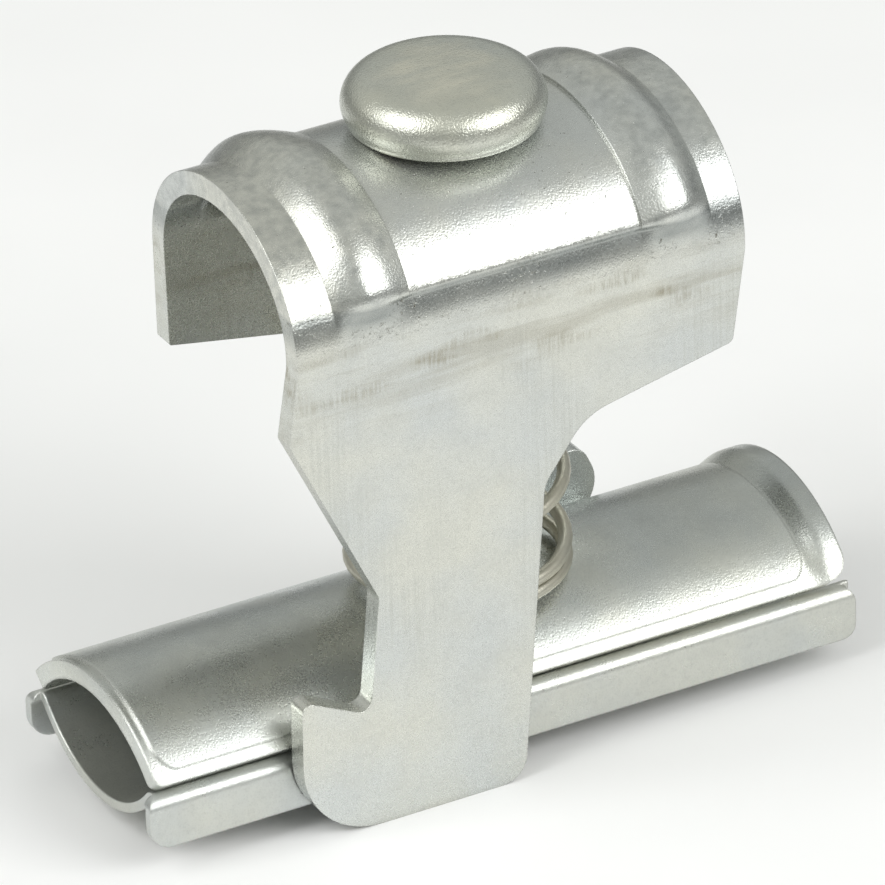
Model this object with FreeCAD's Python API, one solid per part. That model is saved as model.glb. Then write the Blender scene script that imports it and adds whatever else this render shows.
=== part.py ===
import FreeCAD, Part
import math
import os

# Shield connection clamp. Millimetres. X runs along the cables, -Y is the front, +Z is up.
# The feet stand on Z = 0. Each piece is drawn with the pin's axis at X = 0, Y = 0, and at the end
# all are moved along X, so that the origin lies below the middle of the plates' length.

# Plates' width, which the bracket's walls follow
PLATE_HALF_WIDTH = 7.9
LEG_CLEARANCE = 0.15

# Bracket: one folded sheet
SHEET = 1.45
WALL_INNER = PLATE_HALF_WIDTH + LEG_CLEARANCE
WALL_OUTER = WALL_INNER + SHEET
CROWN_HALF_LENGTH = 14.83
CROWN_SKEW = 0.037          # its ends lean in plan, more to the left at the front
CROWN_FOOT_Z = 31.5         # height where the crown's arch starts
CROWN_RISE = 7.4
RIB_RISE = 1.15             # how far the two ribs stand above the end bands
PANEL_RISE = 0.35
PANEL_HALF_LENGTH = 7.7
RIB_OUTER_X = 12.45
RIB_CREST_X = 10.2
RIB_FOOT_ANGLE = 7.0        # degrees above the arch's start, where the ribs have faded out
RIB_FULL_ANGLE = 25.0
PANEL_FOOT_ANGLE = 17.5     # the panel's lower border is a crisp step
PANEL_FULL_ANGLE = 20.5
RIB_STEP = 0.2              # from the rib down to the panel beside it
WALL_END_INSET = 1.28       # from the crown's end to the short wall end's lower corner
BACK_WALL_END_INSET = 0.38
WALL_END = (CROWN_HALF_LENGTH - WALL_END_INSET, 25.1)
BACK_WALL_END = (BACK_WALL_END_INSET - CROWN_HALF_LENGTH, 24.85)
WALL_BEND_DROP = 0.5        # how far below the crown's foot the wall ends bend
WALL_BEND_RADIUS = 3.0
SLOPE_START_X = 3.6         # where the wall's lower edge turns down into the leg
SLOPE_START_Z = 23.05
BACK_SLOPE_START_Z = 22.9
SLOPE_START_RADIUS = 4.0
LEG_CORNER_Z = 15.05
LEG_CORNER_X = -10.4
LEG_CORNER_RADIUS = 0.7
WALL_CORNER_REACH = 1.04    # how far the wall's other corner stands past the crown's end
WALL_CORNER = (-CROWN_HALF_LENGTH - WALL_CORNER_REACH, 26.6)
WALL_CORNER_RADIUS = 0.5
NOTCH_CORNER = (-11.2, 7.5)
HOOK_REACH_X = -15.85
HOOK_TOP_Z = 9.65
HOOK_TIP_RADIUS = 0.55
HEEL_RADIUS = 5.1
TOE_RADIUS = 1.7
LEG_EDGE_FOOT_X = -1.05
LEG_EDGE_TOP = (0.75, 19.3)
LEG_EDGE_TOP_RADIUS = 2.2
BACK_NOTCH = (11.1, 8.9)
BACK_NOSE = (12.4, 11.6)
BACK_NOSE_RADIUS = 1.2
BACK_BULGE = (14.24, 7.59)
BACK_BULGE_RADIUS = 2.4
BACK_HEEL_X = 10.2
BACK_HEEL_RADIUS = 3.5

# Pin
PIN_CLEARANCE = 0.075
SHANK_RADIUS = 2.5
NECK_RADIUS = 1.8
HEAD_RADIUS = 6.05
HEAD_FOOT_RADIUS = 5.75
HEAD_FOOT_EDGE = 0.4
HEAD_HEIGHT = 3.3
HEAD_EDGE = 1.85
HEAD_DOME = 0.15
TAIL_RADIUS = 2.9
TAIL_HEIGHT = 0.75
TAIL_EDGE = 0.4

# Spring
SPRING_OUTER_RADIUS = 6.85
WIRE = 0.85
ACTIVE_TURNS = 5.0
END_TURNS = 1.17
SPRING_START = -120.0       # degrees, where the bottom coil begins

# Contact plate: trough and two flanges
CONTACT_SHEET = 0.6
TROUGH_LOW_Z = 1.33
RIDGE_RADIUS = 0.9          # outside of the bend between trough and flange
RIDGE_TOP_Z = 5.05
FLANGE_FOOT_Z = 1.71
CONTACT_LEFT_X = -25.075
CONTACT_RIGHT_X = 22.725
TROUGH_SETBACK = 0.6        # how far the trough ends short of the flanges on the left
FLANGE_HEEL_RADIUS = 1.5
FLANGE_CORNER_RADIUS = 0.9

# Pressure plate: a saddle, its section an arc
SADDLE_RADIUS = 10.2        # outside, at the rim
SADDLE_SHEET = 1.15
SADDLE_SETBACK = 0.09       # how far its rims stand inside the contact plate's width
RIM_GAP = 0.05              # from its rims down to the contact plate's ridges
SADDLE_LEFT_X = -24.525
SADDLE_RIGHT_X = 22.275
FLARE_LENGTH = 1.55
FLARE_FLAT = 0.95
FLARE_RISE = 0.82
FLARE_RIM_SHARE = 0.4       # how much of the rise its rims take part in
PANEL_STEP = 0.15           # how far the long panel stands above the rim
RIM_WIDTH = 0.75
RIM_LEFT = 0.55
RIM_RIGHT = 2.4
RIM_CORNER_RADIUS = 1.4
SADDLE_RIGHT_CORNER = 1.5
SADDLE_LEFT_CORNER = 0.6

# Worked out from the values above
CROWN_TOP_Z = CROWN_FOOT_Z + CROWN_RISE + PANEL_RISE
SADDLE_HALF_ANGLE = math.asin((PLATE_HALF_WIDTH - SADDLE_SETBACK) / SADDLE_RADIUS)
SADDLE_RIM_Z = RIDGE_TOP_Z + RIM_GAP
SADDLE_MIDDLE_Z = SADDLE_RIM_Z - (SADDLE_RADIUS - SADDLE_SHEET) * math.cos(SADDLE_HALF_ANGLE)
SADDLE_TOP_Z = SADDLE_MIDDLE_Z + SADDLE_RADIUS + PANEL_STEP
PLATES_MIDDLE_X = (CONTACT_LEFT_X + CONTACT_RIGHT_X) / 2


def vec(x, y, z):
    return FreeCAD.Vector(x, y, z)


def closed_face(edges):
    return Part.Face(Part.Wire(edges))


def box_between(low, high):
    size = [b - a for a, b in zip(low, high)]
    return Part.makeBox(size[0], size[1], size[2], vec(*low))


def cylinder(radius, low_z, high_z):
    return Part.makeCylinder(radius, high_z - low_z, vec(0, 0, low_z))


def half_turn(shape):
    turned = shape.copy()
    turned.rotate(vec(0, 0, 0), vec(0, 0, 1), 180)
    return turned


def rounded_outline(corners):
    """Closed wire in the XZ plane. Each corner is (x, z, radius)."""
    count = len(corners)
    cuts = []
    for i in range(count):
        here = vec(corners[i][0], 0, corners[i][1])
        before = vec(corners[i - 1][0], 0, corners[i - 1][1])
        after = vec(corners[(i + 1) % count][0], 0, corners[(i + 1) % count][1])
        radius = corners[i][2]
        to_before = (before - here).normalize()
        to_after = (after - here).normalize()
        half = to_before.getAngle(to_after) / 2
        if radius == 0:
            cuts.append((here, None, here))
            continue
        reach = radius / math.tan(half)
        bisector = (to_before + to_after).normalize()
        middle = here + bisector * (radius / math.sin(half) - radius)
        cuts.append((here + to_before * reach, middle, here + to_after * reach))
    edges = []
    for i in range(count):
        start, middle, end = cuts[i]
        if middle is not None:
            edges.append(Part.Arc(start, middle, end).toShape())
        following = cuts[(i + 1) % count][0]
        if end.distanceToPoint(following) > 1e-6:
            edges.append(Part.LineSegment(end, following).toShape())
    return Part.Wire(edges)


# Bracket walls
def crown_end(side_y):
    """How far the crown reaches from the pin towards -X, at this Y."""
    return CROWN_HALF_LENGTH - CROWN_SKEW * side_y


def front_outline(y):
    left = -crown_end(y)
    right = crown_end(-y)
    return rounded_outline([
        (left, CROWN_FOOT_Z, 0),
        (left, CROWN_FOOT_Z - WALL_BEND_DROP, WALL_BEND_RADIUS),
        (WALL_CORNER[0], WALL_CORNER[1], WALL_CORNER_RADIUS),
        (LEG_CORNER_X, LEG_CORNER_Z, LEG_CORNER_RADIUS),
        (NOTCH_CORNER[0], NOTCH_CORNER[1], LEG_CORNER_RADIUS),
        (HOOK_REACH_X + 0.15, HOOK_TOP_Z, HOOK_TIP_RADIUS),
        (HOOK_REACH_X, 0.0, HEEL_RADIUS),
        (LEG_EDGE_FOOT_X, 0.0, TOE_RADIUS),
        (LEG_EDGE_TOP[0], LEG_EDGE_TOP[1], LEG_EDGE_TOP_RADIUS),
        (SLOPE_START_X, SLOPE_START_Z, SLOPE_START_RADIUS),
        (WALL_END[0], WALL_END[1], WALL_CORNER_RADIUS),
        (right, CROWN_FOOT_Z - WALL_BEND_DROP, WALL_BEND_RADIUS),
        (right, CROWN_FOOT_Z, 0),
    ])


def back_outline(y):
    """The front wall turned about the pin, with a shorter hook that ends in a nose."""
    left = -crown_end(y)
    right = crown_end(-y)
    return rounded_outline([
        (right, CROWN_FOOT_Z, 0),
        (right, CROWN_FOOT_Z - WALL_BEND_DROP, WALL_BEND_RADIUS),
        (-WALL_CORNER[0], WALL_CORNER[1], WALL_CORNER_RADIUS),
        (-LEG_CORNER_X, LEG_CORNER_Z, LEG_CORNER_RADIUS),
        (BACK_NOTCH[0], BACK_NOTCH[1], 0.5),
        (BACK_NOSE[0], BACK_NOSE[1], BACK_NOSE_RADIUS),
        (BACK_BULGE[0], BACK_BULGE[1], BACK_BULGE_RADIUS),
        (BACK_HEEL_X, 0.0, BACK_HEEL_RADIUS),
        (-LEG_EDGE_FOOT_X, 0.0, TOE_RADIUS),
        (-LEG_EDGE_TOP[0], LEG_EDGE_TOP[1], LEG_EDGE_TOP_RADIUS),
        (-SLOPE_START_X, BACK_SLOPE_START_Z, SLOPE_START_RADIUS),
        (BACK_WALL_END[0], BACK_WALL_END[1], 0.25),
        (left, CROWN_FOOT_Z, 0),
    ])


def wall(outline, outer_y, inner_y):
    """A wall between its outlines on the two sides of the sheet."""
    wires = []
    for y in (outer_y, inner_y):
        wire = outline(y)
        wire.translate(vec(0, y, 0))
        wires.append(wire)
    return Part.makeLoft(wires, True, True)


# Bracket crown
def line(start, end):
    return Part.LineSegment(start, end).toShape()


def spline(points):
    curve = Part.BSplineCurve()
    curve.interpolate(points)
    return curve.toShape()


def smooth_step(share):
    share = min(1.0, max(0.0, share))
    return share * share * (3 - 2 * share)


def arch_spans(x, half_width, rise, rib, ledge):
    """The arch's points in three spans, parted at the height of the panel's lower border.

    It is swollen by the rib, which fades out slowly, and by the ledge, which ends in a step.
    """
    side = [PANEL_FOOT_ANGLE * i / 8 for i in range(9)]
    over = [PANEL_FOOT_ANGLE + (90 - PANEL_FOOT_ANGLE) * (i / 14) ** 1.8 for i in range(15)]
    over += [180 - angle for angle in reversed(over[:-1])]
    spans = []
    for angles in (side, over, [180 - angle for angle in reversed(side)]):
        points = []
        for angle in angles:
            from_side = min(angle, 180 - angle)
            rib_share = (from_side - RIB_FOOT_ANGLE) / (RIB_FULL_ANGLE - RIB_FOOT_ANGLE)
            ledge_share = (from_side - PANEL_FOOT_ANGLE) / (PANEL_FULL_ANGLE - PANEL_FOOT_ANGLE)
            out = rib * smooth_step(rib_share) + ledge * smooth_step(ledge_share)
            turn = math.radians(angle)
            y = (half_width + out) * math.cos(turn)
            points.append(vec(x, y, CROWN_FOOT_Z + (rise + out) * math.sin(turn)))
        spans.append(points)
    return spans


def crown_section(x, rib, ledge):
    outer = arch_spans(x, WALL_OUTER, CROWN_RISE, rib, ledge)
    inner = arch_spans(x, WALL_INNER, CROWN_RISE - SHEET, rib, ledge)
    edges = [spline(span) for span in outer]
    edges.append(line(outer[-1][-1], inner[-1][-1]))
    edges += [spline(span[::-1]) for span in reversed(inner)]
    edges.append(line(inner[0][0], outer[0][0]))
    return Part.Wire(edges)


def rib_stretch():
    """The swelling between an end band and the middle panel, on the -X side."""
    outer_length = RIB_OUTER_X - RIB_CREST_X
    inner_length = RIB_CREST_X - PANEL_HALF_LENGTH
    last = PANEL_RISE + RIB_STEP
    sections = []
    for i in range(5):
        x = -RIB_OUTER_X + outer_length * i / 4
        sections.append(crown_section(x, RIB_RISE * math.sin(math.pi / 8 * i), 0))
    for i in range(1, 5):
        height = last + (RIB_RISE - last) * math.cos(math.pi / 8 * i)
        ledge = last * smooth_step(i / 4)
        x = -RIB_CREST_X + inner_length * i / 4
        sections.append(crown_section(x, height - ledge, ledge))
    return Part.makeLoft(sections, True, False)


def straight_stretch(start_x, end_x, ledge):
    return Part.Face(crown_section(start_x, 0, ledge)).extrude(vec(end_x - start_x, 0, 0))


def end_bands():
    """Both plain ends, cut off a little slanting in plan."""
    wide = 2 * WALL_OUTER
    plan = [
        vec(-crown_end(-wide), -wide, 0),
        vec(crown_end(wide), -wide, 0),
        vec(crown_end(-wide), wide, 0),
        vec(-crown_end(wide), wide, 0),
    ]
    outline = [line(a, b) for a, b in zip(plan, plan[1:] + plan[:1])]
    keep = closed_face(outline).extrude(vec(0, 0, 2 * CROWN_TOP_Z))
    long = crown_end(-wide)
    band = straight_stretch(-long, -RIB_OUTER_X, 0).common(keep)
    return [band, half_turn(band)]


def clamp_bracket():
    walls = [
        wall(front_outline, -WALL_OUTER, -WALL_INNER),
        wall(back_outline, WALL_OUTER, WALL_INNER),
    ]
    rib = rib_stretch()
    panel = straight_stretch(-PANEL_HALF_LENGTH, PANEL_HALF_LENGTH, PANEL_RISE)
    shape = panel.multiFuse([rib, half_turn(rib), *end_bands(), *walls])
    hole = cylinder(SHANK_RADIUS + PIN_CLEARANCE, CROWN_FOOT_Z, CROWN_TOP_Z + 2)
    return shape.cut(hole)


# Pin
def head_edges(seat):
    """The head's outline from its foot to the middle of its dome."""
    edge_x = HEAD_RADIUS - HEAD_EDGE
    edge_z = seat + HEAD_HEIGHT - HEAD_DOME - HEAD_EDGE
    slant = HEAD_EDGE * math.sqrt(0.5)
    foot_in = vec(HEAD_FOOT_RADIUS - HEAD_FOOT_EDGE, 0, seat)
    foot_bend = foot_in + vec(HEAD_FOOT_EDGE * 0.7, 0, HEAD_FOOT_EDGE * 0.3)
    foot_out = vec(HEAD_FOOT_RADIUS, 0, seat + HEAD_FOOT_EDGE)
    side_bend = vec(HEAD_RADIUS - 0.08, 0, (foot_out.z + edge_z) / 2)
    wide = vec(HEAD_RADIUS, 0, edge_z)
    edge_bend = vec(edge_x + slant, 0, edge_z + slant)
    top_edge = vec(edge_x, 0, edge_z + HEAD_EDGE)
    top = vec(0, 0, seat + HEAD_HEIGHT)
    dome_radius = (edge_x ** 2 + HEAD_DOME ** 2) / (2 * HEAD_DOME)
    dome_drop = dome_radius - math.sqrt(dome_radius ** 2 - edge_x ** 2 / 4)
    dome_bend = vec(edge_x / 2, 0, top.z - dome_drop)
    return foot_in, top, [
        Part.Arc(foot_in, foot_bend, foot_out).toShape(),
        Part.Arc(foot_out, side_bend, wide).toShape(),
        Part.Arc(wide, edge_bend, top_edge).toShape(),
        Part.Arc(top_edge, dome_bend, top).toShape(),
    ]


def plunger_pin():
    """One turned outline: rivet tail, neck, shank and button head."""
    tail_z = TROUGH_LOW_Z - TAIL_HEIGHT
    tail_in = vec(TAIL_RADIUS - TAIL_EDGE, 0, tail_z)
    tail_bend = tail_in + vec(TAIL_EDGE * 0.7, 0, TAIL_EDGE * 0.3)
    tail_out = vec(TAIL_RADIUS, 0, tail_z + TAIL_EDGE)
    foot_in, top, head = head_edges(CROWN_TOP_Z)
    steps = [
        tail_out,
        vec(TAIL_RADIUS, 0, TROUGH_LOW_Z),
        vec(NECK_RADIUS, 0, TROUGH_LOW_Z),
        vec(NECK_RADIUS, 0, SADDLE_TOP_Z),
        vec(SHANK_RADIUS, 0, SADDLE_TOP_Z),
        vec(SHANK_RADIUS, 0, CROWN_TOP_Z),
        foot_in,
    ]
    outline = [line(vec(0, 0, tail_z), tail_in), Part.Arc(tail_in, tail_bend, tail_out).toShape()]
    outline += [line(a, b) for a, b in zip(steps[:-1], steps[1:])]
    outline += head
    outline.append(line(top, vec(0, 0, tail_z)))
    return closed_face(outline).revolve(vec(0, 0, 0), vec(0, 0, 1), 360)


# Spring
def spring_top_z():
    """Middle of the top coil's wire, where its sides touch the crown's underside."""
    mean = SPRING_OUTER_RADIUS - WIRE / 2
    reach = (mean + WIRE / 2) / (WALL_INNER + PANEL_RISE)
    under = CROWN_FOOT_Z + (CROWN_RISE - SHEET + PANEL_RISE) * math.sqrt(1 - reach * reach)
    return under - WIRE * 0.55


def compression_spring():
    mean = SPRING_OUTER_RADIUS - WIRE / 2
    low = SADDLE_TOP_Z + WIRE / 2
    high = spring_top_z()
    turns = ACTIVE_TURNS + 2 * END_TURNS
    closed_rise = WIRE * 1.04 * END_TURNS
    active_rise = high - low - 2 * closed_rise
    per_turn = 16
    points = []
    for i in range(int(turns * per_turn) + 1):
        turn = i / per_turn
        if turn < END_TURNS:
            z = low + closed_rise * turn / END_TURNS
        elif turn > turns - END_TURNS:
            z = high - closed_rise * (turns - turn) / END_TURNS
        else:
            z = low + closed_rise + active_rise * (turn - END_TURNS) / ACTIVE_TURNS
        angle = 2 * math.pi * turn + math.radians(SPRING_START)
        points.append(vec(mean * math.cos(angle), mean * math.sin(angle), z))
    path = Part.BSplineCurve()
    path.interpolate(points)
    direction = path.tangent(path.FirstParameter)[0]
    ring = Part.Wire(Part.makeCircle(WIRE / 2, points[0], direction))
    return Part.Wire(path.toShape()).makePipeShell([ring], True, True)


# Pressure plate
def on_arc(x, radius, angle):
    """A point of the saddle's section, its angle measured from the top towards +Y."""
    return vec(x, radius * math.sin(angle), SADDLE_MIDDLE_Z + radius * math.cos(angle))


def saddle_section(x, outer, inner, half_angle, lift=0.0):
    """Closed wire between two arcs, with ends square to the sheet. Lift raises its top."""
    rim_lift = lift * FLARE_RIM_SHARE
    angles = (half_angle, 0, -half_angle)
    over = [on_arc(x, outer + (rim_lift if a else lift), a) for a in angles]
    under = [on_arc(x, inner + (rim_lift if a else lift), -a) for a in angles]
    return Part.Wire([
        Part.Arc(*over).toShape(),
        line(over[-1], under[0]),
        Part.Arc(*under).toShape(),
        line(under[-1], over[0]),
    ])


def panel_window(half_width):
    """A tall prism over the long panel, with rounded corners."""
    height = SADDLE_TOP_Z + SADDLE_RADIUS
    low = (SADDLE_LEFT_X + RIM_LEFT, -half_width, 0)
    block = box_between(low, (SADDLE_RIGHT_X - RIM_RIGHT, half_width, height))
    corners = [e for e in block.Edges if abs(e.BoundBox.ZLength - height) < 1e-6]
    return block.makeFillet(RIM_CORNER_RADIUS, corners)


def rim_corner(end_x, side, radius):
    """What is cut off one corner of the saddle's sheet, square to the sheet at its rim."""
    height = 1.5 * SADDLE_RADIUS
    corner = box_between((-1, -radius, 0), (radius, 1, height))
    corner = corner.cut(Part.makeCylinder(radius, height, vec(radius, -radius, 0)))
    if end_x > 0:
        corner = corner.mirror(vec(0, 0, 0), vec(1, 0, 0))
    if side < 0:
        corner = corner.mirror(vec(0, 0, 0), vec(0, 1, 0))
    corner.rotate(vec(0, 0, 0), vec(1, 0, 0), -side * math.degrees(SADDLE_HALF_ANGLE))
    corner.translate(vec(end_x, 0, SADDLE_MIDDLE_Z))
    return corner


def flared_end():
    """The last stretch, whose top rises in a soft step while its rims run on straight."""
    inner = SADDLE_RADIUS - SADDLE_SHEET
    start_x = SADDLE_RIGHT_X - FLARE_FLAT - FLARE_LENGTH
    sections = []
    for i in range(7):
        lift = FLARE_RISE * smooth_step(i / 6)
        x = start_x + FLARE_LENGTH * i / 6
        sections.append(saddle_section(x, SADDLE_RADIUS, inner, SADDLE_HALF_ANGLE, lift))
    step = Part.makeLoft(sections, True, False)
    flat = Part.Face(sections[-1]).extrude(vec(FLARE_FLAT, 0, 0))
    return step.fuse(flat)


def pressure_plate():
    flare_start = SADDLE_RIGHT_X - FLARE_FLAT - FLARE_LENGTH
    inner = SADDLE_RADIUS - SADDLE_SHEET
    wire = saddle_section(SADDLE_LEFT_X, SADDLE_RADIUS, inner, SADDLE_HALF_ANGLE)
    body = Part.Face(wire).extrude(vec(flare_start - SADDLE_LEFT_X, 0, 0))
    panel_angle = SADDLE_HALF_ANGLE - RIM_WIDTH / SADDLE_RADIUS
    panel_wire = saddle_section(
        SADDLE_LEFT_X, SADDLE_RADIUS + PANEL_STEP, SADDLE_RADIUS - PANEL_STEP, panel_angle)
    panel = Part.Face(panel_wire).extrude(vec(SADDLE_RIGHT_X - SADDLE_LEFT_X, 0, 0))
    panel_half_width = (SADDLE_RADIUS + PANEL_STEP) * math.sin(panel_angle)
    shape = body.multiFuse([flared_end(), panel.common(panel_window(panel_half_width))])
    for side in (-1, 1):
        shape = shape.cut(rim_corner(SADDLE_LEFT_X, side, SADDLE_LEFT_CORNER))
        shape = shape.cut(rim_corner(SADDLE_RIGHT_X, side, SADDLE_RIGHT_CORNER))
    return shape.cut(cylinder(NECK_RADIUS, 0, SADDLE_TOP_Z + 1))


# Contact plate
def trough_and_ridge():
    """Middle height of the trough, its radius, and the middle of the ridge's bend."""
    ridge_y = PLATE_HALF_WIDTH - RIDGE_RADIUS
    ridge_z = RIDGE_TOP_Z - RIDGE_RADIUS
    bend = RIDGE_RADIUS - CONTACT_SHEET / 2
    below = TROUGH_LOW_Z + CONTACT_SHEET / 2 - ridge_z
    radius = (ridge_y ** 2 + below ** 2 - bend ** 2) / (2 * (bend - below))
    return TROUGH_LOW_Z + CONTACT_SHEET / 2 + radius, radius, ridge_y, ridge_z


def contact_boundary(offset):
    """Edges at a distance from the sheet's middle line. Positive is the upper side."""
    trough_z, trough_radius, ridge_y, ridge_z = trough_and_ridge()
    steep = math.atan2(trough_z - ridge_z, ridge_y)
    trough = trough_radius - offset
    bend = RIDGE_RADIUS - CONTACT_SHEET / 2 + offset
    join = vec(0, trough * math.cos(steep), trough_z - trough * math.sin(steep))
    low = vec(0, 0, trough_z - trough)
    edges = [Part.Arc(vec(0, -join.y, join.z), low, join).toShape()]
    ends = []
    for side in (-1, 1):
        start = vec(0, side * join.y, join.z)
        crest = vec(0, side * ridge_y, ridge_z + bend)
        turn = vec(0, side * (ridge_y + bend), ridge_z)
        foot = vec(0, turn.y, FLANGE_FOOT_Z)
        edges.append(Part.Arc(start, crest, turn).toShape())
        edges.append(Part.LineSegment(turn, foot).toShape())
        ends.append(foot)
    return edges, ends


def contact_plate():
    upper, upper_ends = contact_boundary(CONTACT_SHEET / 2)
    lower, lower_ends = contact_boundary(-CONTACT_SHEET / 2)
    closing = [Part.LineSegment(a, b).toShape() for a, b in zip(upper_ends, lower_ends)]
    section = Part.Wire(Part.sortEdges(upper + lower + closing)[0])
    sheet = Part.Face(section).extrude(vec(CONTACT_RIGHT_X - CONTACT_LEFT_X, 0, 0))
    sheet.translate(vec(CONTACT_LEFT_X, 0, 0))
    side_outline = rounded_outline([
        (CONTACT_LEFT_X, RIDGE_TOP_Z, FLANGE_CORNER_RADIUS),
        (CONTACT_LEFT_X, FLANGE_FOOT_Z, FLANGE_HEEL_RADIUS),
        (CONTACT_RIGHT_X, FLANGE_FOOT_Z, FLANGE_CORNER_RADIUS),
        (CONTACT_RIGHT_X, RIDGE_TOP_Z, FLANGE_CORNER_RADIUS),
    ])
    keep = Part.Face(side_outline).extrude(vec(0, 3 * PLATE_HALF_WIDTH, 0))
    keep.translate(vec(0, -1.5 * PLATE_HALF_WIDTH, 0))
    trough_half = PLATE_HALF_WIDTH - RIDGE_RADIUS
    trough_left = CONTACT_LEFT_X + TROUGH_SETBACK
    middle = box_between((trough_left, -trough_half, 0), (CONTACT_RIGHT_X, trough_half, RIDGE_TOP_Z))
    setback = box_between((CONTACT_LEFT_X, -trough_half, 0), (trough_left, trough_half, RIDGE_TOP_Z + 1))
    shape = sheet.common(keep.fuse(middle)).cut(setback)
    return shape.cut(cylinder(NECK_RADIUS, 0, RIDGE_TOP_Z))


os.makedirs("parts", exist_ok=True)
nodes = {
    "clamp_bracket": clamp_bracket(),
    "plunger_pin": plunger_pin(),
    "compression_spring": compression_spring(),
    "pressure_plate": pressure_plate(),
    "contact_plate": contact_plate(),
}
for name, shape in nodes.items():
    if len(shape.Solids) == 1:
        shape = shape.Solids[0]
    shape.translate(vec(-PLATES_MIDDLE_X, 0, 0))
    print(name, len(shape.Solids), shape.isValid(), round(shape.Volume, 1), shape.BoundBox)
    shape.exportStep(os.path.join("parts", name + ".step"))
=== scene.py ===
import math

import bpy
from mathutils import Matrix, Vector


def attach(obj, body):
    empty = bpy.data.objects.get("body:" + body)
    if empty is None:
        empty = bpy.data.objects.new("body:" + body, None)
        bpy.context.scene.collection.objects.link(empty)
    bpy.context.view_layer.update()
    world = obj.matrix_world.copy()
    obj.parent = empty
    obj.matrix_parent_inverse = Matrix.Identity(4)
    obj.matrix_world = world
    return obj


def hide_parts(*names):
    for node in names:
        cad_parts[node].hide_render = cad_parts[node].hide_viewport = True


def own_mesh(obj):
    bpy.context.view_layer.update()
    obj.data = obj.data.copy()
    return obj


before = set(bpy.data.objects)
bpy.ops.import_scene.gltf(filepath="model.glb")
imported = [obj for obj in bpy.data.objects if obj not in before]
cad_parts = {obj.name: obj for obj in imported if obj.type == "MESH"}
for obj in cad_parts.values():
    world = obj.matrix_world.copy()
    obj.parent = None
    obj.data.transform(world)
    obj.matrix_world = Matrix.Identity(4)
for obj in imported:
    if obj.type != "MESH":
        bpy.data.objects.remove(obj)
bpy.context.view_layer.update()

# Driving sizes, in metres. The pin's axis stands a little to the right of the origin.
PIN_X = 0.001175
HEAD_TOP_Z = 0.0425
CROWN_FOOT_Z = 0.0315
# The crown's band of painted shade ends at BEND_TOP_Z.
BEND_TOP_Z = 0.0340         # where the crown's duller band ends
CREST_Z = 0.0096            # top of the pressure plate's arch
PANEL_HALF_LENGTH = 0.0077
ABOVE_ALL_Z = 0.05

# Spring, as in the part's source
SPRING_MEAN_RADIUS = 0.006425
WIRE_RADIUS = 0.000425
SPRING_LOW_Z = 0.010054
SPRING_HIGH_Z = 0.034679
ACTIVE_TURNS = 5.0
END_TURNS = 1.17
CLOSED_RISE = 0.001034
SPRING_START = math.radians(-120)
STEPS_PER_TURN = 40
WIRE_SIDES = 20

# Camera, at the photograph's angle
CAMERA_AZIMUTH = math.radians(28.42)
CAMERA_ELEVATION = math.radians(28.72)
CAMERA_ROLL = math.radians(-1.79)
CAMERA_DISTANCE = 0.604
CAMERA_TARGET = Vector((0.000238, -0.00027, 0.0183))
PICTURE_WIDTH_AT_TARGET = 0.05206
SENSOR_WIDTH = 36

# Colours of the metals, of the marks on them, and of the painted shade
BRACKET_COLOUR = (0.68, 0.69, 0.66)
PIN_COLOUR = (0.65, 0.66, 0.60)
SADDLE_COLOUR = (0.74, 0.76, 0.73)
CONTACT_COLOUR = (0.63, 0.645, 0.625)
SPRING_COLOUR = (0.54, 0.52, 0.44)
BRUSHED_COLOUR = (0.50, 0.51, 0.47)
RUB_AND_SHADE_COLOUR = (0.36, 0.34, 0.27)
DULL_AND_SHADE_COLOUR = (0.27, 0.29, 0.285)
PIT_COLOUR = (0.22, 0.21, 0.17)
SMEAR_COLOUR = (0.80, 0.78, 0.66)
CUT_COLOUR = (0.84, 0.85, 0.81)

# Build of the metals: how coarse each pattern is, and how deep or strong each effect is
STAIN_SCALE = 110
CLOUD_SCALE = 420
MOTTLE_SCALE = 2300
STIPPLE_SCALE = 8200
DRAW_MARK_SCALE = 6500
GRAIN_DEPTH = 0.00003
METAL_SHARE = 0.84
EDGE_SHARE = 0.4
# Painted shade in creases: how much it darkens, and how far it looks for close surfaces.
CREASE_SHADE_SHARE = 0.2
CREASE_SHADE_REACH = 0.0005
SOFT_SAMPLES = 6            # rays for rounded edges and creases

# Studio. The room around it is dim near the floor and pale above.
HORIZON_COLOUR = (0.12, 0.125, 0.12, 1)
SKY_COLOUR = (0.44, 0.45, 0.43, 1)
EXPOSURE = 0.22
LIGHT_TARGET = Vector((0, 0, 0.02))
FLOOR_SIZE = 6
# The floor's painted shade: pale up to the first reach, darkening to the dark share by the
# second.
PALE_REACH = 0.11           # the floor is pale up to here, and dark from the next value on
DARK_REACH = 0.26
DARK_SHARE = 0.35


def camera():
    back = Vector((
        -math.sin(CAMERA_AZIMUTH) * math.cos(CAMERA_ELEVATION),
        -math.cos(CAMERA_AZIMUTH) * math.cos(CAMERA_ELEVATION),
        math.sin(CAMERA_ELEVATION),
    ))
    right = Vector((math.cos(CAMERA_AZIMUTH), -math.sin(CAMERA_AZIMUTH), 0))
    up = back.cross(right)
    rolled_right = right * math.cos(CAMERA_ROLL) + up * math.sin(CAMERA_ROLL)
    rolled_up = up * math.cos(CAMERA_ROLL) - right * math.sin(CAMERA_ROLL)
    data = bpy.data.cameras.new("photo_camera")
    data.sensor_width = SENSOR_WIDTH
    data.lens = SENSOR_WIDTH * CAMERA_DISTANCE / PICTURE_WIDTH_AT_TARGET
    data.clip_start = 0.01
    data.clip_end = 20
    cam = bpy.data.objects.new("photo_camera", data)
    bpy.context.scene.collection.objects.link(cam)
    turn = Matrix((rolled_right, rolled_up, back)).transposed().to_4x4()
    cam.matrix_world = Matrix.Translation(CAMERA_TARGET + back * CAMERA_DISTANCE) @ turn
    bpy.context.scene.camera = cam


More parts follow.
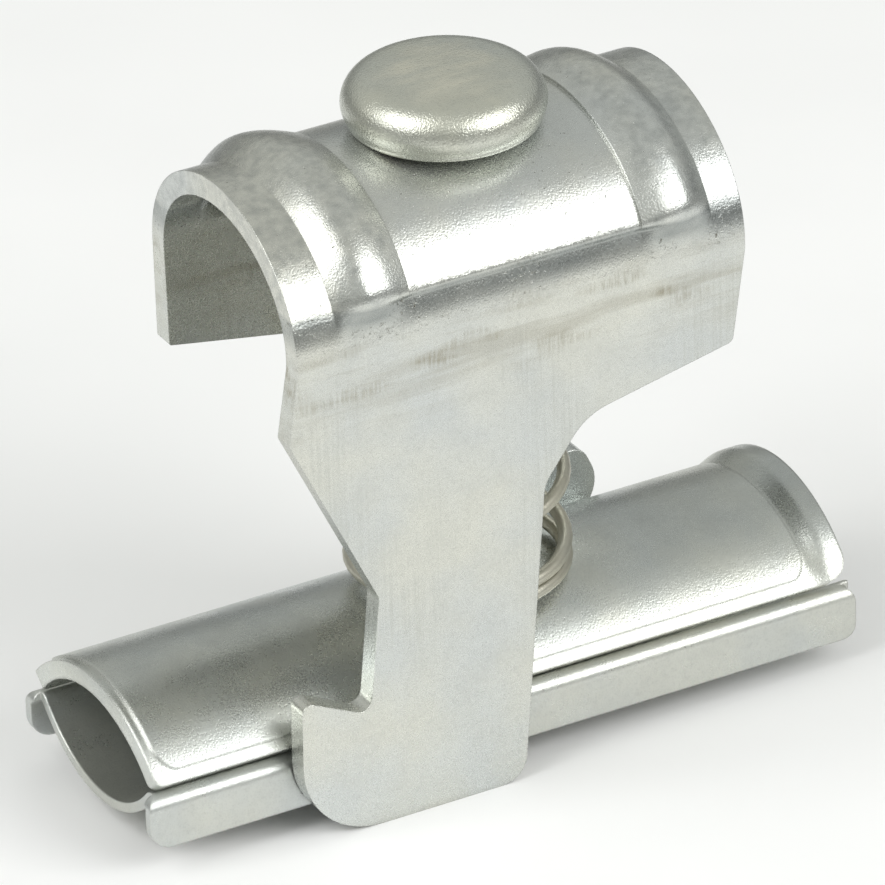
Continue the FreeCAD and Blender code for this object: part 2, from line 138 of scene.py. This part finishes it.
# Studio
def area_light(name, direction, distance, size, brightness):
    """A softbox that faces the clamp. Brightness is what its face shines with."""
    data = bpy.data.lights.new(name, "AREA")
    data.shape = "RECTANGLE"
    data.size = size[0]
    data.size_y = size[1]
    data.energy = brightness * math.pi * size[0] * size[1]
    light = bpy.data.objects.new(name, data)
    bpy.context.scene.collection.objects.link(light)
    toward = Vector(direction).normalized()
    light.location = LIGHT_TARGET + toward * distance
    light.rotation_euler = toward.to_track_quat("Z", "Y").to_euler()


def room():
    world = bpy.data.worlds.new("studio")
    bpy.context.scene.world = world
    world.use_nodes = True
    tree = world.node_tree
    direction = add(tree, "TexCoord", {}).outputs["Generated"]
    height = add(tree, "SeparateXYZ", {"Vector": direction}).outputs["Z"]
    sky = blend(tree, ramp(tree, height, 0.10, 0.34), HORIZON_COLOUR, SKY_COLOUR)
    tree.links.new(sky, tree.nodes["Background"].inputs["Color"])
    bpy.context.scene.view_settings.view_transform = "Standard"
    bpy.context.scene.view_settings.exposure = EXPOSURE


def studio():
    room()
    area_light("front_right_box", direction=(0.42, -0.69, 0.58), distance=0.60,
               size=(0.46, 0.31), brightness=3.3)
    area_light("left_box", direction=(-0.72, -0.02, 0.69), distance=0.70,
               size=(0.50, 0.50), brightness=2.7)
    bpy.ops.mesh.primitive_plane_add(size=FLOOR_SIZE, location=(0, 0, 0))
    floor = bpy.context.object
    floor.name = "floor"
    floor.data.materials.append(floor_material())


# Shader nodes
def new_material(name):
    made = bpy.data.materials.new(name)
    made.use_nodes = True
    return made, made.node_tree, made.node_tree.nodes["Principled BSDF"]


def add(tree, kind, inputs, **settings):
    """A shader node with its inputs set to values or joined to other nodes' outputs."""
    made = tree.nodes.new("ShaderNode" + kind)
    for key, value in settings.items():
        setattr(made, key, value)
    for key, value in inputs.items():
        if isinstance(value, bpy.types.NodeSocket):
            tree.links.new(value, made.inputs[key])
        else:
            made.inputs[key].default_value = value
    return made


def ramp(tree, value, low, high, to_low=0.0, to_high=1.0):
    """Goes from to_low to to_high as the value goes from low to high."""
    made = add(tree, "MapRange", {
        "Value": value, "From Min": low, "From Max": high, "To Min": to_low, "To Max": to_high})
    return made.outputs["Result"]


def times(tree, one, two):
    made = add(tree, "Math", {0: one, 1: two}, operation="MULTIPLY")
    return made.outputs["Value"]


def plus(tree, one, two):
    made = add(tree, "Math", {0: one, 1: two}, operation="ADD")
    return made.outputs["Value"]


def blend(tree, share, one, two):
    """Colour one where the share is 0, colour two where it is 1."""
    made = add(tree, "Mix", {}, data_type="RGBA")
    for key, value in (("Factor", share), ("A", one), ("B", two)):
        kind = "VALUE" if key == "Factor" else "RGBA"
        socket = [s for s in made.inputs if s.name == key and s.type == kind][0]
        if isinstance(value, bpy.types.NodeSocket):
            tree.links.new(value, socket)
        else:
            socket.default_value = value
    return [s for s in made.outputs if s.type == "RGBA"][0]


def noise(tree, place, scale, detail=3.0, stretch=(1, 1, 1)):
    """Cloudy pattern. A small stretch value draws it out along that axis."""
    spread = add(tree, "Mapping", {"Vector": place, "Scale": stretch})
    made = add(tree, "TexNoise", {
        "Vector": spread.outputs["Vector"], "Scale": scale, "Detail": detail})
    return made.outputs["Fac"]


def opaque(colour, share=1.0):
    return [min(1.0, c * share) for c in colour] + [1.0]


# Materials
def floor_material():
    """Pale paper with painted shade: it darkens well away from the clamp, where the room's light
    ends.
    """
    made, tree, shader = new_material("floor_paper")
    place = add(tree, "TexCoord", {}).outputs["Object"]
    away = add(tree, "VectorMath", {0: place}, operation="LENGTH").outputs["Value"]
    paper = ramp(tree, noise(tree, place, 40), 0.3, 0.7, 0.94, 0.97)
    # Painted shade: the paper darkens with distance from the clamp.
    shade = times(tree, paper, ramp(tree, away, PALE_REACH, DARK_REACH, 1.0, DARK_SHARE))
    grey = add(tree, "CombineColor", {"Red": shade, "Green": shade, "Blue": shade})
    tree.links.new(grey.outputs["Color"], shader.inputs["Base Color"])
    shader.inputs["Roughness"].default_value = 0.9
    return made


def cut_edges(tree, rounded):
    """1 along the sharp edges, where the sheet was cut, and 0 on open faces."""
    straight = add(tree, "NewGeometry", {}).outputs["Normal"]
    both = {0: rounded, 1: straight}
    likeness = add(tree, "VectorMath", both, operation="DOT_PRODUCT").outputs["Value"]
    return ramp(tree, likeness, 0.995, 0.86)


def painted_crease_shade(tree):
    """Painted shade: 1 deep in grooves, at the foot of steps and between pieces that lie close,
    where little light reaches.
    """
    near = add(tree, "AmbientOcclusion", {"Distance": CREASE_SHADE_REACH}, samples=SOFT_SAMPLES)
    return ramp(tree, near.outputs["AO"], 0.95, 0.45)


def metal(name, colour, roughness, grain=1.0, edge=0.00012, marks=()):
    """Plated sheet steel with a fine satin grain, faint stains, bright edges and painted shade
    in its creases.

    Each of the marks gives its share of the surface and its colour, and how deep it goes.
    """
    made, tree, shader = new_material(name)
    place = add(tree, "TexCoord", {}).outputs["Object"]
    rounded = add(tree, "Bevel", {"Radius": edge}, samples=SOFT_SAMPLES).outputs["Normal"]
    stains = noise(tree, place, STAIN_SCALE, 4)
    clouds = noise(tree, place, CLOUD_SCALE, 5)
    mottle = noise(tree, place, MOTTLE_SCALE, 3)
    stipple = noise(tree, place, STIPPLE_SCALE, 2)
    cool = [colour[0] * 0.94, colour[1] * 0.96, colour[2] * 0.98]
    warm = [colour[0] * 1.03, colour[1] * 1.02, colour[2] * 0.97]
    tone = blend(tree, ramp(tree, stains, 0.38, 0.62), opaque(cool), opaque(warm))
    fleck = plus(tree, ramp(tree, clouds, 0.35, 0.75, 0.0, 0.10),
                 ramp(tree, mottle, 0.45, 0.75, 0.0, 0.12))
    fleck = plus(tree, fleck, ramp(tree, stipple, 0.50, 0.72, 0.0, 0.10 + 0.16 * grain))
    tone = blend(tree, fleck, tone, opaque(colour, 0.55))
    height = plus(tree, times(tree, stipple, grain), times(tree, mottle, grain * 0.2))
    sheen = plus(tree, ramp(tree, clouds, 0.3, 0.7, roughness - 0.04, roughness + 0.04),
                 ramp(tree, stipple, 0.3, 0.7, -0.05, 0.05))
    for mark, mark_colour, depth in marks:
        share = mark(tree, place)
        tone = blend(tree, share, tone, opaque(mark_colour))
        height = plus(tree, height, times(tree, share, -depth))
    # Painted shade: creases and close gaps are darkened towards the rub colour.
    shade = times(tree, painted_crease_shade(tree), CREASE_SHADE_SHARE)
    tone = blend(tree, shade, tone, opaque(RUB_AND_SHADE_COLOUR, 0.6))
    bright = times(tree, cut_edges(tree, rounded), EDGE_SHARE)
    tone = blend(tree, bright, tone, opaque(CUT_COLOUR))
    tree.links.new(tone, shader.inputs["Base Color"])
    tree.links.new(sheen, shader.inputs["Roughness"])
    shader.inputs["Metallic"].default_value = METAL_SHARE
    bump = add(tree, "Bump", {
        "Strength": 1.0, "Distance": GRAIN_DEPTH, "Height": height, "Normal": rounded})
    tree.links.new(bump.outputs["Normal"], shader.inputs["Normal"])
    return made


# Marks and painted shade, each as its share of the surface
def band(tree, place, low, full_low, full_high=ABOVE_ALL_Z, high=ABOVE_ALL_Z + 0.01):
    """1 between two heights, fading out below and above them."""
    height = add(tree, "SeparateXYZ", {"Vector": place}).outputs["Z"]
    return times(tree, ramp(tree, height, low, full_low), ramp(tree, height, high, full_high))


def crown_pits(tree, place):
    """Small dark specks on the crown, more of them where it bends into the walls."""
    crown = band(tree, place, CROWN_FOOT_Z, CROWN_FOOT_Z + 0.001)
    bend = band(tree, place, CROWN_FOOT_Z, CROWN_FOOT_Z + 0.001, BEND_TOP_Z, BEND_TOP_Z + 0.001)
    spots = noise(tree, place, 4600, 2)
    few = ramp(tree, spots, 0.69, 0.76)
    more = times(tree, ramp(tree, spots, 0.60, 0.68), times(tree, bend, 0.6))
    patches = ramp(tree, noise(tree, place, 300, 2), 0.46, 0.56)
    return times(tree, plus(tree, times(tree, few, crown), more), times(tree, patches, 0.7))


def rib_mottle(tree, place):
    """A soft mottle on the crown beside its panel, where the sheet was stretched most."""
    crown = band(tree, place, CROWN_FOOT_Z + 0.0010, CROWN_FOOT_Z + 0.0030)
    along = add(tree, "SeparateXYZ", {"Vector": place}).outputs["X"]
    from_pin = add(tree, "Math", {0: plus(tree, along, -PIN_X)}, operation="ABSOLUTE")
    beside = ramp(tree, from_pin.outputs["Value"], PANEL_HALF_LENGTH, PANEL_HALF_LENGTH + 0.0008)
    blotches = ramp(tree, noise(tree, place, 1500, 6), 0.36, 0.70, 0.0, 0.42)
    return times(tree, times(tree, crown, beside), blotches)


def painted_bend_shade(tree, place):
    """Painted shade: a darker band above the walls, where the sheet was drawn round into the
    crown and its bend reflects the dim room low down.
    """
    across = band(tree, place, BEND_TOP_Z - 0.0018, BEND_TOP_Z - 0.0007,
                  BEND_TOP_Z, BEND_TOP_Z + 0.0003)
    cloudy = ramp(tree, noise(tree, place, 700, 4, (0.5, 1, 1)), 0.3, 0.7, 0.45, 0.85)
    return times(tree, across, cloudy)


def painted_crest_shade(tree, place):
    """Painted shade: a slightly darker back of the saddle, where the dim room above and the
    bracket darken it.
    """
    crest = band(tree, place, CREST_Z - 0.0022, CREST_Z - 0.0004)
    return times(tree, crest, ramp(tree, noise(tree, place, 260, 4), 0.3, 0.7, 0.30, 0.50))


def fold_rub(tree, place):
    """Brownish streaks and hatched rub marks under the bend between wall and crown."""
    under = band(tree, place, CROWN_FOOT_Z - 0.0060, CROWN_FOOT_Z - 0.0025,
                 CROWN_FOOT_Z - 0.0004, CROWN_FOOT_Z + 0.0010)
    streaks = ramp(tree, noise(tree, place, 900, 3, (0.12, 1, 1.3)), 0.46, 0.66, 0.0, 0.38)
    patches = ramp(tree, noise(tree, place, 330, 3, (0.5, 1, 1.5)), 0.54, 0.66)
    fine = noise(tree, place, DRAW_MARK_SCALE, 2, (1, 1, 0.10))
    hatch = ramp(tree, fine, 0.38, 0.62, 0.1, 0.55)
    return times(tree, under, plus(tree, streaks, times(tree, patches, hatch)))


def wall_brush(tree, place):
    """Upright draw marks on the walls, in patches."""
    patches = ramp(tree, noise(tree, place, 130, 2, (1, 1, 0.4)), 0.50, 0.62)
    fine = noise(tree, place, DRAW_MARK_SCALE, 2, (1, 1, 0.02))
    lines = ramp(tree, fine, 0.4, 0.7, 0.0, 0.40)
    walls = band(tree, place, -0.01, 0.0, CROWN_FOOT_Z - 0.002, CROWN_FOOT_Z + 0.001)
    return times(tree, times(tree, patches, lines), walls)


def head_smears(tree, place):
    """Pale brushed smears in the middle of the pin head's top."""
    top = band(tree, place, HEAD_TOP_Z - 0.0010, HEAD_TOP_Z - 0.0005)
    centre = {0: place, 1: (PIN_X, 0, HEAD_TOP_Z)}
    out = add(tree, "VectorMath", centre, operation="DISTANCE").outputs["Value"]
    ragged = ramp(tree, noise(tree, place, 500, 3), 0.3, 0.7, 0.0, 0.002)
    middle = ramp(tree, plus(tree, out, ragged), 0.0055, 0.0030)
    smears = ramp(tree, noise(tree, place, 1100, 5, (0.3, 1, 1)), 0.36, 0.62, 0.2, 0.9)
    return times(tree, times(tree, top, middle), smears)


# Pieces
def paint(node, material):
    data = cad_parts[node].data
    data.materials.clear()
    data.materials.append(material)


def bracket():
    marks = (
        (wall_brush, BRUSHED_COLOUR, 0.5),
        (rib_mottle, DULL_AND_SHADE_COLOUR, 0.2),
        # painted shade along the bend, standing for the dim room it reflects
        (painted_bend_shade, DULL_AND_SHADE_COLOUR, 0.0),
        (fold_rub, RUB_AND_SHADE_COLOUR, 0.0),
        (crown_pits, PIT_COLOUR, 1.5),
    )
    steel = metal("bracket_steel", BRACKET_COLOUR, 0.28, grain=0.6, marks=marks)
    paint("clamp_bracket", steel)


def pin():
    marks = ((head_smears, SMEAR_COLOUR, 0.2),)
    steel = metal("pin_steel", PIN_COLOUR, 0.29, grain=1.05, marks=marks)
    paint("plunger_pin", steel)


def plates():
    # The saddle's darker back is painted shade.
    marks = ((painted_crest_shade, DULL_AND_SHADE_COLOUR, 0.0),)
    saddle = metal("saddle_steel", SADDLE_COLOUR, 0.30, grain=0.5, edge=0.0003, marks=marks)
    contact = metal("contact_steel", CONTACT_COLOUR, 0.33, grain=0.4, edge=0.0002)
    paint("pressure_plate", saddle)
    paint("contact_plate", contact)


def spring_points():
    turns = ACTIVE_TURNS + 2 * END_TURNS
    active_rise = SPRING_HIGH_Z - SPRING_LOW_Z - 2 * CLOSED_RISE
    points = []
    for i in range(int(turns * STEPS_PER_TURN) + 1):
        turn = i / STEPS_PER_TURN
        if turn < END_TURNS:
            z = SPRING_LOW_Z + CLOSED_RISE * turn / END_TURNS
        elif turn > turns - END_TURNS:
            z = SPRING_HIGH_Z - CLOSED_RISE * (turns - turn) / END_TURNS
        else:
            z = SPRING_LOW_Z + CLOSED_RISE + active_rise * (turn - END_TURNS) / ACTIVE_TURNS
        angle = 2 * math.pi * turn + SPRING_START
        x = PIN_X + SPRING_MEAN_RADIUS * math.cos(angle)
        points.append(Vector((x, SPRING_MEAN_RADIUS * math.sin(angle), z)))
    return points


def tube_mesh(name, points, radius, sides):
    """A round wire along points that wind around the pin, with closed ends."""
    vertices = []
    faces = []
    for i, point in enumerate(points):
        ahead = points[min(i + 1, len(points) - 1)]
        behind = points[max(i - 1, 0)]
        along = (ahead - behind).normalized()
        out = Vector((point.x - PIN_X, point.y, 0)).normalized()
        across = along.cross(out).normalized()
        for k in range(sides):
            a = 2 * math.pi * k / sides
            vertices.append(point + (out * math.cos(a) + across * math.sin(a)) * radius)
    for i in range(len(points) - 1):
        for k in range(sides):
            a = i * sides + k
            b = i * sides + (k + 1) % sides
            faces.append((a, b, b + sides, a + sides))
    faces.append(tuple(range(sides - 1, -1, -1)))
    last = (len(points) - 1) * sides
    faces.append(tuple(range(last, last + sides)))
    mesh = bpy.data.meshes.new(name)
    mesh.from_pydata(vertices, [], faces)
    mesh.polygons.foreach_set("use_smooth", [len(p.vertices) == 4 for p in mesh.polygons])
    made = bpy.data.objects.new(name, mesh)
    bpy.context.scene.collection.objects.link(made)
    return made


def spring():
    wire = tube_mesh("coil_spring", spring_points(), WIRE_RADIUS, WIRE_SIDES)
    wire.data.materials.append(metal("spring_steel", SPRING_COLOUR, 0.40, grain=0.5))
    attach(wire, "bracket")
    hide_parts("compression_spring")
    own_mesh(wire)


camera()
studio()
bracket()
pin()
plates()
spring()
